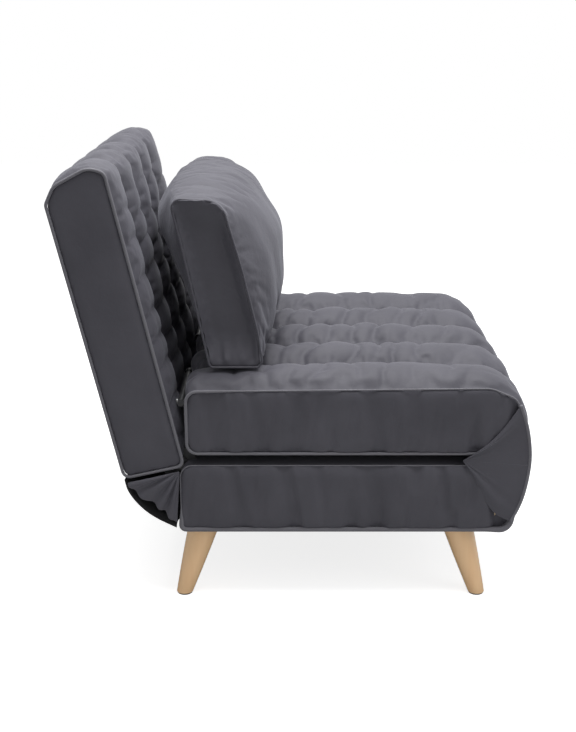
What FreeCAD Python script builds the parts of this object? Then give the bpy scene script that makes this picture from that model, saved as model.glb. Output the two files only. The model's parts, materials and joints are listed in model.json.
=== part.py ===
import FreeCAD, Part
import math
import os

# Convertible chair bed: base on legs, seat that folds out forward, reclining back, loose pillow
# Millimetres, X forward, Y to the sitter's left, Z up, floor at Z = 0

# Overall sizes
width = 700.0
leg_height = 140.0
base_height = 135.0
seat_thickness = 126.0
seam_gap = 21.0
base_depth = 650.5
seat_set_in = 14.0
back_thickness = 118.7
back_length = 586.0
back_lean = 12.7

# Forms of the cushions
seat_crown = 27.0
back_crown = 12.0
channel_count = 5
channel_pitch = 140.0
channel_sink = 9.0
seam_crown = 3.0
crown_swell = 0.5
side_bulge = 6.0
shoulder_run = 70.0
side_draw = 10.0
fold_edge = 20.0
cover_wall = 10.0
nose_wall = 14.0
base_corner = 25.0
base_foam_wall = 17.0
foam_cap = 5.0

# Clearances
fit_gap = 0.3
run_gap = 0.4
bore_gap = 0.05
flat_gap = 2.0

# Wooden frames
board = 22.0
rail_height = 48.0
slat_width = 55.0
slat_thick = 10.0
slat_margin = 101.0
nose_slope = 38.0
nose_rise = 62.0
front_rail_set_back = 82.0
block_side = 62.0
block_height = 40.0
base_slat_count = 6
seat_slat_count = 6
dust_cover_thick = 2.0
seat_rail_height = 40.0
seat_rail_drop = 50.0

# Legs
leg_top_radius = 31.0
leg_foot_radius = 16.0
front_leg_set_back = 115.0
rear_leg_inset = 43.0
leg_inset = 50.0
leg_splay_x = 40.0
leg_splay_y = 30.0
glide_thick = 3.0
leg_plate_side = 60.0
leg_plate_thick = 2.5
leg_bolt_radius = 4.0
leg_bolt_up = 36.0
leg_bolt_down = 26.0

# Back frame
tube = 20.0
tube_wall = 1.5
back_frame_margin = 28.0
back_slat_count = 5
back_slat_thick = 4.0

# Recline hinge
recline_range = 77.3
click_count = 4
plate_thick = 4.0
tooth_tip = 34.0
hinge_pin_radius = 5.0
hinge_bolt_ahead = 52.0
hinge_bolt_pitch = 32.0
pawl_angle = -20.0
pawl_arm = 28.0
pawl_width = 8.0
pawl_pin_radius = 3.0
pawl_drop = 8.0

# Front hinge
knuckle_radius = 4.5
front_pin_radius = 2.5
leaf_thick = 3.0
leaf_width = 70.0
leaf_height = 44.0
front_hinge_y = 220.0

# Swing-out foot legs
foot_tube_radius = 7.0
foot_pivot_inset = 44.0
foot_pivot_drop = 33.0
foot_pin_radius = 3.0
foot_cap_height = 14.0
foot_cap_wall = 1.5

# Sewn trim
trim_width = 1.8
trim_depth = 3.0
sheet = 1.5
wrap_reach = 180.0
wrap_over = 20.0

# Pillow
pillow_width = 600.0
pillow_height = 324.0
pillow_foot = 86.0
pillow_touch = 455.0
crown_fall = 0.2
pillow_ahead = 66.0
pillow_wall = 16.0
filling_side = 50.0
filling_trim = 10.0
pillow_side_bulge = 10.0

# Places that follow from the sizes
base_rear = -221.0
half = width / 2
seam = half - side_bulge
cavity = half - cover_wall
front_x = base_rear + base_depth
seat_rear = base_rear + seat_set_in
hinge_x = front_x + knuckle_radius + 0.5
base_bottom = leg_height
base_top = base_bottom + base_height
seat_bottom = base_top + seam_gap
seat_top = seat_bottom + seat_thickness
crease = (base_top + seat_bottom) / 2
pivot_x = base_rear - flat_gap
pivot_z = base_top - 10.0
back_face = 13.7
back_rear = back_face - back_thickness
back_start = 2 * flat_gap
lean = math.radians(back_lean)
frame_low = base_bottom + dust_cover_thick
frame_top = frame_low + rail_height
base_foam_low = frame_top + slat_thick
base_foam_top = base_top - foam_cap
nose_x = front_x - nose_wall - board
arm_y = cavity - board - 2 * plate_thick - run_gap
plate_y = cavity - board - plate_thick
upright_y = arm_y - tube

axis_y = FreeCAD.Vector(0, 1, 0)
parts = {}


# Drawing helpers

def vec(x, y, z):
    return FreeCAD.Vector(x, y, z)


def box(x0, x1, y0, y1, z0, z1):
    return Part.makeBox(x1 - x0, y1 - y0, z1 - z0, vec(x0, y0, z0))


def rod(start, end, radius):
    run = end - start
    return Part.makeCylinder(radius, run.Length, start, run)


def bar_y(x, z, y0, y1, radius):
    return rod(vec(x, y0, z), vec(x, y1, z), radius)


def wire_at(y, path):
    """Closed outline at one Y: a point is a line's end, a (middle, end) pair is an arc."""
    start = vec(path[0][0], y, path[0][1])
    here = start
    edges = []
    for step in path[1:]:
        if isinstance(step[0], tuple):
            middle = vec(step[0][0], y, step[0][1])
            end = vec(step[1][0], y, step[1][1])
            edges.append(Part.Arc(here, middle, end).toShape())
        else:
            end = vec(step[0], y, step[1])
            edges.append(Part.LineSegment(here, end).toShape())
        here = end
    if here.distanceToPoint(start) > 0.001:
        edges.append(Part.LineSegment(here, start).toShape())
    return Part.Wire(edges)


def plate_xz(path, y0, y1):
    """Flat plate with its outline in the side view, between two Y."""
    return Part.Face(wire_at(y0, path)).extrude(vec(0, y1 - y0, 0))


def mirrored(shape):
    """The same piece on the other side of the middle plane."""
    return shape.mirror(vec(0, 0, 0), axis_y)


def both(shape):
    return [shape, mirrored(shape)]


def pair(name, shape):
    """Left and right pieces, each in its own node."""
    parts[name + "_left"] = shape
    parts[name + "_right"] = mirrored(shape)


def group(name, shapes):
    """Identical separate solids in one node."""
    parts[name] = Part.makeCompound(shapes)


def biggest(shape):
    return max(shape.Solids, key=lambda solid: solid.Volume)


def turned(shape, x, z, degrees):
    """Shape turned about an axis along Y, with its top going to the rear."""
    out = shape.copy()
    out.rotate(vec(x, 0, z), axis_y, -degrees)
    return out


def about_crease(path):
    """Outline mirrored up and down in the fold plane."""
    return [(x, 2 * crease - z) for x, z in path]


# Places and blocks in the leaning back's own directions: forward of it, and up along it

def lean_point(forward, up):
    x = pivot_x + forward * math.cos(lean) - up * math.sin(lean)
    z = pivot_z + forward * math.sin(lean) + up * math.cos(lean)
    return x, z


def leaned(path):
    out = []
    for step in path:
        if isinstance(step[0], tuple):
            out.append((lean_point(*step[0]), lean_point(*step[1])))
        else:
            out.append(lean_point(*step))
    return out


def lean_box(f0, f1, y0, y1, u0, u1):
    block = box(f0, f1, y0, y1, u0, u1)
    block.rotate(vec(0, 0, 0), axis_y, -back_lean)
    block.translate(vec(pivot_x, 0, pivot_z))
    return block


def lean_tube(f0, y0, y1, u0, u1):
    """Square steel tube, open at both ends of its longest side."""
    spans = [(f0, f0 + tube), (y0, y1), (u0, u1)]
    lengths = [high - low for low, high in spans]
    along = lengths.index(max(lengths))
    bore = [
        span if k == along else (span[0] + tube_wall, span[1] - tube_wall)
        for k, span in enumerate(spans)
    ]
    outer = lean_box(*spans[0], *spans[1], *spans[2])
    return outer.cut(lean_box(*bore[0], *bore[1], *bore[2]))


# Cushion forms

def stations():
    """Y of a channelled cushion's sections, with the share of the stitching's depth there."""
    flank = channel_pitch * 0.17
    places = [(-seam, None), (-seam + 0.5 * flank, 1.8), (-seam + 1.3 * flank, 0.6)]
    for k in range(channel_count):
        crest = (k - (channel_count - 1) / 2) * channel_pitch
        places.append((crest, 0.0))
        if k < channel_count - 1:
            line = crest + channel_pitch / 2
            places += [(line - flank, 0.35), (line, 1.0), (line + flank, 0.35)]
    return places + [(seam - 1.3 * flank, 0.6), (seam - 0.5 * flank, 1.8), (seam, None)]


def cushion(outline):
    """Cushion whose stitched channels run from rear to front."""
    wires = [wire_at(y, outline(draw, 0.0)) for y, draw in stations()]
    return with_sides(Part.makeLoft(wires, True, False), outline)


def with_sides(body, outline):
    """Body between the side seams, joined to its side panels."""
    rim = wire_at(seam, outline(None, 0.0))
    panel = wire_at(half, outline(None, side_draw))
    return biggest(body.fuse(both(Part.makeLoft([rim, panel], True, True))))


def piping(outline):
    """Cord sewn round each side seam, as one ring a side."""
    y0 = seam + fit_gap
    outer = plate_xz(outline(None, -trim_width), y0, y0 + trim_depth)
    inner = plate_xz(outline(None, 0.0 - fit_gap / 10), y0 - 1.0, y0 + trim_depth + 1.0)
    return both(outer.cut(inner))


def fold_pad(x0, x1, z_seam, z_crease):
    """Raised middle of a cushion face that meets the face folded onto it."""
    rims = []
    for inset, z in ((fold_edge, z_seam), (2 * fold_edge, z_crease)):
        x_low = x0 + inset - fold_edge
        x_high = x1 - inset + fold_edge
        y = half - inset
        corners = [vec(x_low, -y, z), vec(x_high, -y, z), vec(x_high, y, z), vec(x_low, y, z)]
        rims.append(Part.makePolygon(corners + corners[:1]))
    return Part.makeLoft(rims, True, True)


def seat_outline(draw, inset):
    """Seat from the side: rounded rear, crowned top, front rounded down to the fold."""
    crown = seam_crown if draw is None else seat_crown - channel_sink * draw
    rear = seat_rear + inset
    front = front_x - inset
    low = seat_bottom + inset
    top = seat_top - inset
    corner = 20.0
    cut = corner * (1 - math.sqrt(0.5))
    edge = top + 0.55 * crown
    run = shoulder_run - 4.0
    drop = edge - (top - 62.0)
    radius = (run * run + drop * drop) / (2 * drop)
    turn = (math.pi / 2 + math.atan2(radius - drop, run)) / 2
    shoulder = (front - shoulder_run + radius * math.cos(turn), edge - radius + radius * math.sin(turn))
    return [
        (rear + corner, low),
        (front - 7.0, low),
        ((front - 2.0, low + 2.0), (front, low + 7.0)),
        ((front + 0.2, low + 32.0), (front - 4.0, top - 62.0)),
        (shoulder, (front - shoulder_run, edge)),
        (((rear + corner + front - shoulder_run) / 2, top + crown), (rear + corner, edge)),
        ((rear + cut, top - cut + 0.4 * crown), (rear, top - corner)),
        (rear, low + corner),
        ((rear + cut, low + cut), (rear + corner, low)),
    ]


def base_outline(draw, inset):
    """Base from the side: flat top, rear corner rounded clear of the back, front drawn in below."""
    rear = base_rear + inset
    front = front_x - inset
    low = base_bottom + inset
    top = base_top - inset
    cut = base_corner * (1 - math.sqrt(0.5))
    small = 8.0
    bite = small * (1 - math.sqrt(0.5))
    return [
        (rear + small, low),
        (front - 67.0, low),
        ((front - 44.0, low + 6.0), (front - 25.0, low + 19.0)),
        ((front - 4.5, low + 76.0), (front, top - 6.0)),
        ((front - 1.8, top - 1.8), (front - 6.0, top)),
        (rear + base_corner, top),
        ((rear + cut, top - cut), (rear, top - base_corner)),
        (rear, low + small),
        ((rear + bite, low + bite), (rear + small, low)),
    ]


def back_outline(draw, inset):
    """Back from the side: front and top carry the channels, rear and lower end are plain."""
    crown = seam_crown if draw is None else back_crown - channel_sink * draw
    front = back_face - inset
    rear = back_rear + inset
    low = back_start + inset
    top = back_length - inset
    corner = 14.0
    cut = corner * (1 - math.sqrt(0.5))
    return leaned([
        (front, low + corner),
        ((front + crown, (low + top) / 2), (front + 0.3 * crown, top - 42.0)),
        ((front - 7.0 + 0.5 * crown, top - 13.0 + 0.5 * crown), (front - 32.0, top + 0.7 * crown)),
        ((front - 70.0, top - 5.0 + 0.7 * crown), (rear + 14.0, top - 31.0 + 0.3 * crown)),
        ((rear + 4.0, top - 41.0 + 0.1 * crown), (rear, top - 55.0)),
        (rear, low + corner),
        ((rear + cut, low + cut), (rear + corner, low)),
        (front - corner, low),
        ((front - cut, low + cut), (front, low + corner)),
    ])


# Recline hinge: plate on the base, toothed arm on the back, pawl that drops between the teeth

def hinge_point(out, across):
    """Point by the tooth ring, outward along the pawl's direction and clockwise across it."""
    angle = math.radians(pawl_angle)
    x = pivot_x + out * math.cos(angle) + across * math.sin(angle)
    z = pivot_z + out * math.sin(angle) - across * math.cos(angle)
    return x, z


def pawl_tip(slack):
    """Nose of the pawl, clear of the teeth, or enlarged for the gap that it drops into."""
    near = tooth_tip + 0.6
    far = near + 7.0
    return [
        hinge_point(near, -1.5 - slack), hinge_point(near, 1.5 + slack),
        hinge_point(far, 2.4 + slack), hinge_point(far, -2.4 - slack),
    ]


def hinge_parts():
    y0 = arm_y
    y1 = arm_y + plate_thick
    pawl_out = tooth_tip + 5.6 + pawl_width / 2
    pin = hinge_point(pawl_out, pawl_arm)

    disc = bar_y(pivot_x, pivot_z, y0, y1, tooth_tip)
    strap = plate_xz(leaned([
        (-33.0, back_start), (back_rear + 15.0, 16.0), (back_rear + 15.0, 134.0),
        (back_rear + 35.0, 134.0), (-25.0, 66.0), (20.0, 27.0)]), y0, y1)
    arm = disc.fuse(strap)
    gap = turned(plate_xz(pawl_tip(0.8), y0 - 1, y1 + 1), pin[0], pin[1], pawl_drop)
    for k in range(click_count + 1):
        arm = arm.cut(turned(gap, pivot_x, pivot_z, -k * recline_range / click_count))
    arm = arm.cut(bar_y(pivot_x, pivot_z, y0 - 1, y1 + 1, hinge_pin_radius + bore_gap))

    body = plate_xz([
        hinge_point(pawl_out - pawl_width / 2, -4.0), hinge_point(pawl_out - pawl_width / 2, pawl_arm),
        hinge_point(pawl_out + pawl_width / 2, pawl_arm), hinge_point(pawl_out + pawl_width / 2, -4.0)],
        y0, y1)
    eye = bar_y(pin[0], pin[1], y0, y1, pawl_width * 0.8)
    pawl = body.fuse([eye, plate_xz(pawl_tip(0.0), y0, y1)])
    pawl = pawl.cut(bar_y(pin[0], pin[1], y0 - 1, y1 + 1, pawl_pin_radius + bore_gap))

    rail_gap = pivot_z - frame_top - 3.0
    plate = plate_xz([
        (pivot_x - 15.0, pivot_z - 6.0), (base_rear + cover_wall + board + 2.0, pivot_z - rail_gap),
        (base_rear + cover_wall + board + 2.0, frame_low + 6.0), (pivot_x + 98.0, frame_low + 6.0),
        (pivot_x + 98.0, frame_top - 6.0), (pivot_x + 62.0, pivot_z - 50.0),
        (pivot_x + 15.0, pivot_z + 6.0)], plate_y, plate_y + plate_thick)
    plate = plate.fuse(bar_y(pivot_x, pivot_z, plate_y, plate_y + plate_thick, 16.2))
    plate = plate.cut([
        bar_y(pivot_x, pivot_z, plate_y - 1, cavity, hinge_pin_radius + bore_gap),
        bar_y(pin[0], pin[1], plate_y - 1, cavity, pawl_pin_radius + bore_gap)])

    head = 3.0
    inner = arm_y - head
    outer = plate_y + plate_thick
    pins = []
    for x, z, radius in ((pivot_x, pivot_z, hinge_pin_radius), (pin[0], pin[1], pawl_pin_radius)):
        shank = bar_y(x, z, inner, outer + head, radius)
        heads = [bar_y(x, z, inner, arm_y - bore_gap, radius * 1.7),
                 bar_y(x, z, outer + bore_gap, outer + head, radius * 1.7)]
        pins.append(biggest(shank.fuse(heads)))

    spring_out = pawl_out + pawl_width / 2 + fit_gap
    leaf = plate_xz([
        hinge_point(spring_out, 2.0), hinge_point(spring_out, 16.0),
        hinge_point(spring_out + 5.0, 24.0), hinge_point(spring_out + 6.2, 24.0),
        hinge_point(spring_out + 1.2, 15.6), hinge_point(spring_out + 1.2, 2.0)], y0 + 0.5, y1 - 0.5)
    stud = hinge_point(spring_out + 8.4, 24.0)
    post = bar_y(stud[0], stud[1], y0 + 0.5, plate_y, 3.0)
    return {"arm": arm, "pawl": pawl, "plate": plate, "pin": pins[0], "pawl_pin": pins[1],
            "spring": biggest(leaf.fuse(post)), "pawl_at": pin}


def hinge_pocket():
    """Room for the hinge inside the covers: round the pivot, and forward round the pawl."""
    y0 = arm_y - 3.0 - 2 * run_gap
    y1 = cavity - board + 3.0 + 2 * run_gap
    ring = bar_y(pivot_x, pivot_z, y0, y1, tooth_tip + 2.0)
    ahead = box(base_rear - 5.0, pivot_x + 100.0, y0, y1, frame_low, pivot_z - 2.0)
    above = box(base_rear - 5.0, pivot_x + 52.0, y0, y1, pivot_z - 3.0, crease + 1.0)
    return ring, ahead.fuse(above)


# Front hinge: leaves on the two front boards, knuckles and pin in the fold plane

def leaf_path():
    x = nose_x + board
    bend = crease - 13.0
    return [
        (x, bend - leaf_height), (x + leaf_thick, bend - leaf_height), (x + leaf_thick, bend),
        (hinge_x, crease - 3.0), (hinge_x, crease), (hinge_x - 2.5, crease), (x, bend + 1.0),
    ]


def front_hinges():
    """Lower leaves, upper leaves and pins, at both places across the front."""
    third = leaf_width / 3
    lower = []
    upper = []
    pins = []
    for middle in (-front_hinge_y, front_hinge_y):
        y0 = middle - leaf_width / 2
        bore = bar_y(hinge_x, crease, y0 - 5, y0 + leaf_width + 5, front_pin_radius + bore_gap)
        x = nose_x + board
        low = crease - 13.0 - leaf_height
        flat = box(x, x + leaf_thick, y0, y0 + leaf_width, low, crease - 14.0)
        pieces = [flat]
        for start in (y0, y0 + 2 * third + run_gap / 2):
            end = start + third - run_gap / 2
            pieces.append(plate_xz(leaf_path(), start, end))
            pieces.append(bar_y(hinge_x, crease, start, end, knuckle_radius))
        lower.append(biggest(pieces[0].fuse(pieces[1:]).cut(bore)))
        start = y0 + third + run_gap / 2
        end = y0 + 2 * third - run_gap / 2
        flat_up = box(x, x + leaf_thick, y0, y0 + leaf_width, crease + 14.0, 2 * crease - low)
        pieces = [flat_up, plate_xz(about_crease(leaf_path()), start, end),
                  bar_y(hinge_x, crease, start, end, knuckle_radius)]
        upper.append(biggest(pieces[0].fuse(pieces[1:]).cut(bore)))
        shank = bar_y(hinge_x, crease, y0 - 1.5, y0 + leaf_width + 1.5, front_pin_radius)
        caps = [bar_y(hinge_x, crease, y0 - 1.5, y0 - bore_gap, front_pin_radius * 1.6),
                bar_y(hinge_x, crease, y0 + leaf_width + bore_gap, y0 + leaf_width + 1.5,
                      front_pin_radius * 1.6)]
        pins.append(biggest(shank.fuse(caps)))
    return lower, upper, pins


def leaf_pockets(up):
    """Slots in a cover for the front hinge, below or above the fold plane."""
    slots = []
    for middle in (-front_hinge_y, front_hinge_y):
        y = leaf_width / 2 + 3.0
        low = crease - 13.0 - leaf_height - 2.0
        slot = box(nose_x + board, hinge_x, middle - y, middle + y, low, crease + 1.0)
        if up:
            slot = box(nose_x + board, hinge_x, middle - y, middle + y, crease - 1.0, 2 * crease - low)
        slots.append(slot)
    return slots


# Base section

def leg_places():
    """Centre of each leg's top, with the way that it splays."""
    rear = base_rear + rear_leg_inset
    front = front_x - front_leg_set_back
    y = half - leg_inset
    return {
        "front_left": (front, y, 1, 1), "front_right": (front, -y, 1, -1),
        "rear_left": (rear, y, -1, 1), "rear_right": (rear, -y, -1, -1),
    }


def build_legs():
    plates = []
    bolts = []
    glides = []
    holes = []
    leg_top = base_bottom - leg_plate_thick
    for name, (x, y, way_x, way_y) in leg_places().items():
        foot_x = x + way_x * leg_splay_x
        foot_y = y + way_y * leg_splay_y
        rings = []
        for share in (0.0, 0.5, 1.0):
            z = glide_thick + share * (leg_top - glide_thick)
            swell = 1.0 + 0.035 * math.sin(math.pi * share)
            radius = (leg_foot_radius + share * (leg_top_radius - leg_foot_radius)) * swell
            centre = vec(foot_x + share * (x - foot_x), foot_y + share * (y - foot_y), z)
            rings.append(Part.Wire(Part.makeCircle(radius, centre)))
        leg = Part.makeLoft(rings, True, False)
        bolt = rod(vec(x, y, leg_top - leg_bolt_down), vec(x, y, frame_low + leg_bolt_up), leg_bolt_radius)
        hole = rod(vec(x, y, leg_top - leg_bolt_down - 1), vec(x, y, frame_low + leg_bolt_up + 1),
                   leg_bolt_radius + bore_gap)
        parts["leg_" + name] = leg.cut(hole)
        side = leg_plate_side / 2
        plates.append(box(x - side, x + side, y - side, y + side, leg_top, base_bottom).cut(hole))
        bolts.append(bolt)
        holes.append(hole)
        glides.append(rod(vec(foot_x, foot_y, 0), vec(foot_x, foot_y, glide_thick), leg_foot_radius - 1.5))
    group("leg_plates", plates)
    group("leg_bolts", bolts)
    group("leg_glides", glides)
    return holes


def build_base(hinge, leaves, leaf_pins, holes):
    x0 = base_rear + cover_wall
    rail_end = front_x - front_rail_set_back
    inner = cavity - board
    ring, ahead = hinge_pocket()
    pockets = both(ring) + both(ahead)

    foam = box(base_rear + base_foam_wall, nose_x, -cavity, cavity, base_foam_low, base_foam_top)
    nose = [
        (x0, frame_low), (nose_x - nose_slope, frame_low), (nose_x + board, frame_low + nose_rise),
        (nose_x + board, base_foam_top), (nose_x, base_foam_top), (nose_x, frame_top),
        (x0, frame_top),
    ]
    room = plate_xz(nose, -cavity, cavity)
    under = box(x0, nose_x, -cavity, cavity, frame_top - 1, base_foam_low)
    floor = box(x0, nose_x - nose_slope, -cavity, cavity, base_bottom - 1, frame_low + 1)
    pad = fold_pad(base_rear + 14.0, front_x - 4.0, base_top - 1.0, crease - fit_gap / 2)
    cover = with_sides(plate_xz(base_outline(None, 0.0), -seam, seam), base_outline).fuse(pad)
    cover = cover.cut([foam, room, under, floor] + pockets + leaf_pockets(False))
    parts["base_cover"] = biggest(cover)
    parts["base_foam"] = biggest(foam.cut(pockets))
    dust = box(x0, nose_x - nose_slope, -cavity, cavity, base_bottom, frame_low)
    parts["base_dust_cover"] = dust.cut(holes)

    bolt_z = frame_low + rail_height / 2
    bolt_xs = (pivot_x + hinge_bolt_ahead, pivot_x + hinge_bolt_ahead + hinge_bolt_pitch)
    bolts = []
    bores = []
    for x in bolt_xs:
        shank = bar_y(x, bolt_z, plate_y - 2.0, cavity - 4.0, 3.0)
        head = bar_y(x, bolt_z, plate_y - 2.0, plate_y - bore_gap, 5.5)
        bolts.append(shank.fuse(head))
        bores.append(bar_y(x, bolt_z, plate_y - 3.0, cavity - 3.0, 3.0 + bore_gap))
    group("hinge_bolts", [b for bolt in bolts for b in both(bolt)])
    pair("base_side_rail", plate_xz(nose, inner, cavity).cut(bores))
    group("hinge_plates", both(hinge["plate"].cut(bores)))
    parts["base_rear_rail"] = box(x0, x0 + board, -inner, inner, frame_low, frame_top)
    parts["base_front_rail"] = box(rail_end - board, rail_end, -inner, inner, frame_low, frame_top)
    parts["base_nose_board"] = box(nose_x, nose_x + board, -inner, inner, base_foam_low + 12.0,
                                   base_foam_top)
    first = x0 + slat_margin
    step = (nose_x - nose_slope - slat_width - first) / (base_slat_count - 1)
    group("base_slats", [
        box(first + k * step, first + k * step + slat_width, -cavity, cavity, frame_top, base_foam_low)
        for k in range(base_slat_count)])
    blocks = []
    for x, y, way_x, way_y in leg_places().values():
        low_x = x0 + board if way_x < 0 else rail_end - board - block_side
        side = plate_y - 2.5
        block = box(low_x, low_x + block_side, min(way_y * side, way_y * (side - 60.0)),
                    max(way_y * side, way_y * (side - 60.0)), frame_low, frame_low + block_height)
        blocks.append(block.cut(holes))
    group("base_leg_blocks", blocks)

    group("hinge_pins", both(hinge["pin"]))
    group("pawl_pins", both(hinge["pawl_pin"]))
    group("pawl_springs", both(hinge["spring"]))
    group("front_hinge_lower", leaves)
    group("front_hinge_pins", leaf_pins)
    group("base_piping", piping(base_outline))


# Seat section

def build_seat(leaves):
    x0 = seat_rear + cover_wall
    inner = cavity - board
    rail_low = seat_top - seat_rail_drop - seat_rail_height
    rail_top = rail_low + seat_rail_height
    slat_top = rail_top + slat_thick
    foam_top = seat_top - 9.0
    foam_low = seat_bottom + 5.0
    rear_top = seat_top - 20.0
    nose_top = seat_top - 67.0

    lower = box(x0, nose_x, -cavity, cavity, foam_low, rail_low)
    middle = box(x0, nose_x, -cavity, cavity, rail_low, slat_top)
    upper = box(x0 + board, nose_x - 44.0, -cavity, cavity, slat_top, foam_top)
    rear_room = box(x0, x0 + board, -cavity, cavity, slat_top, rear_top)
    nose_room = box(nose_x, nose_x + board, -cavity, cavity, foam_low, nose_top)
    pad = fold_pad(seat_rear + 14.0, front_x - 4.0, seat_bottom + 1.0, crease + fit_gap / 2)
    brackets, bracket_room, foot_pins, foot_bores = foot_mounts()
    cover = cushion(seat_outline).fuse(pad)
    cover = cover.cut([lower, middle, upper, rear_room, nose_room] + leaf_pockets(True) + bracket_room)
    parts["seat_cover"] = biggest(cover)
    parts["seat_lower_foam"] = lower
    parts["seat_upper_foam"] = upper
    pair("seat_side_rail", box(x0 + board, nose_x, inner, cavity, rail_low, rail_top))
    parts["seat_rear_rail"] = box(x0, x0 + board, -cavity, cavity, rail_low, rear_top).cut(foot_bores)
    parts["seat_nose_board"] = box(nose_x, nose_x + board, -cavity, cavity, foam_low, nose_top)
    first = x0 + board + 6.0
    step = (nose_x - 40.0 - slat_width - first) / (seat_slat_count - 1)
    group("seat_slats", [
        box(first + k * step, first + k * step + slat_width, -cavity, cavity, rail_top, slat_top)
        for k in range(seat_slat_count)])
    group("front_hinge_upper", leaves)
    group("seat_piping", piping(seat_outline))
    group("foot_brackets", brackets)
    group("foot_pins", foot_pins)


# Swing-out foot legs behind the seat

def foot_place():
    """Pivot of the left foot leg: middle of its tube, seat at rest."""
    x = seat_rear - foot_tube_radius - foot_cap_wall - 1.0
    return x, half - foot_pivot_inset, seat_top - foot_pivot_drop


def foot_mounts():
    """Bracket and pin of each foot leg, the room for them in the cover, and the screws' bores."""
    x, y, z = foot_place()
    reach = foot_tube_radius + 3.0
    base_x = seat_rear + cover_wall
    back_plate = box(base_x - 3.0, base_x, y - 20.0, y + 20.0, z - 13.0, z + 13.0)
    stem = box(x + foot_tube_radius + 0.8, base_x, y - 8.0, y + 8.0, z - 8.0, z + 8.0)
    bracket = back_plate.fuse(stem)
    pin_x0 = x - foot_tube_radius - 1.4
    pin = rod(vec(pin_x0, y, z), vec(base_x + 15.0, y, z), foot_pin_radius)
    head = rod(vec(pin_x0 - 0.6, y, z), vec(x - foot_tube_radius - bore_gap, y, z), foot_pin_radius * 1.6)
    hole = rod(vec(x - reach - 5, y, z), vec(base_x + 16.0, y, z), foot_pin_radius + bore_gap)
    room = box(base_x - cover_wall - 1, base_x, y - 21.0, y + 21.0, z - 14.0, z + 14.0)
    brackets = both(bracket.cut(hole))
    return brackets, both(room), both(pin.fuse(head)), both(hole)


def build_foot_legs():
    x, y, z = foot_place()
    length = 2 * crease - z
    tube_end = length - foot_cap_height
    outer = rod(vec(x, y + 12.0, z), vec(x, y - tube_end, z), foot_tube_radius)
    bore = rod(vec(x, y + 11.0, z), vec(x, y - tube_end - 1.0, z), foot_tube_radius - 1.5)
    eye = rod(vec(x - foot_tube_radius, y, z), vec(x + foot_tube_radius, y, z), foot_pin_radius + bore_gap)
    sleeve = rod(vec(x - foot_tube_radius + 0.2, y, z), vec(x + foot_tube_radius - 0.2, y, z), 5.0)
    body = outer.cut(bore).fuse(sleeve.common(outer)).cut(eye)
    pair("foot_leg", biggest(body))
    cap = rod(vec(x, y - tube_end, z), vec(x, y - length, z), foot_tube_radius + foot_cap_wall)
    plug = rod(vec(x, y - tube_end + 12.0, z), vec(x, y - tube_end, z), foot_tube_radius - 1.5 - bore_gap)
    pair("foot_cap", biggest(cap.fuse(plug)))


# Back section

def build_back(hinge):
    f0 = back_rear + cover_wall
    frame_front = f0 + tube
    slat_front = frame_front + back_slat_thick
    foam_front = back_face - 5.0
    u0 = back_start + back_frame_margin
    u1 = back_length - 60.0
    foam_low = u0 - 14.0
    foam_top = u1 + 10.0

    foam = lean_box(slat_front, foam_front, -cavity, cavity, foam_low, foam_top)
    room = lean_box(f0, slat_front, -cavity, cavity, foam_low, foam_top)
    ring, _ahead = hinge_pocket()
    slot = plate_xz(leaned([
        (-36.0, back_start - 5.0), (f0 - 1.0, 10.0), (f0 - 1.0, 138.0), (f0 + tube + 4.0, 138.0),
        (-20.0, 70.0), (26.0, 28.0), (26.0, 0.0)]), arm_y - run_gap, arm_y + plate_thick + run_gap)
    pockets = both(ring) + both(slot)
    parts["back_cover"] = biggest(cushion(back_outline).cut([foam, room] + pockets))
    parts["back_foam"] = biggest(foam.cut(pockets))

    rivets = []
    bores = []
    for u in (56.0, 108.0):
        x, z = lean_point(f0 + tube / 2, u)
        tail = arm_y - tube_wall - 3.0
        shank = bar_y(x, z, tail, arm_y + plate_thick + 2.0, 3.0)
        head = bar_y(x, z, arm_y + plate_thick + bore_gap, arm_y + plate_thick + 2.0, 5.5)
        upset = bar_y(x, z, tail, arm_y - tube_wall - bore_gap, 5.0)
        rivets.append(biggest(shank.fuse([head, upset])))
        bores.append(bar_y(x, z, tail - 1, arm_y + plate_thick + 3, 3.0 + bore_gap))
    group("hinge_rivets", [r for rivet in rivets for r in both(rivet)])
    pair("hinge_arm", hinge["arm"].cut(bores))
    pair("back_upright", lean_tube(f0, upright_y, arm_y, u0, u1).cut(bores))
    parts["back_top_tube"] = lean_tube(f0, -upright_y, upright_y, u1 - tube, u1)
    parts["back_lower_tube"] = lean_tube(f0, -upright_y, upright_y, u0, u0 + tube)
    step = (u1 - u0 - slat_width) / (back_slat_count - 1)
    group("back_slats", [
        lean_box(frame_front, slat_front, -arm_y + 10.0, arm_y - 10.0,
                 u0 + k * step, u0 + k * step + slat_width)
        for k in range(back_slat_count)])
    group("back_piping", piping(back_outline))


# Fabric that spans the joints

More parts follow.
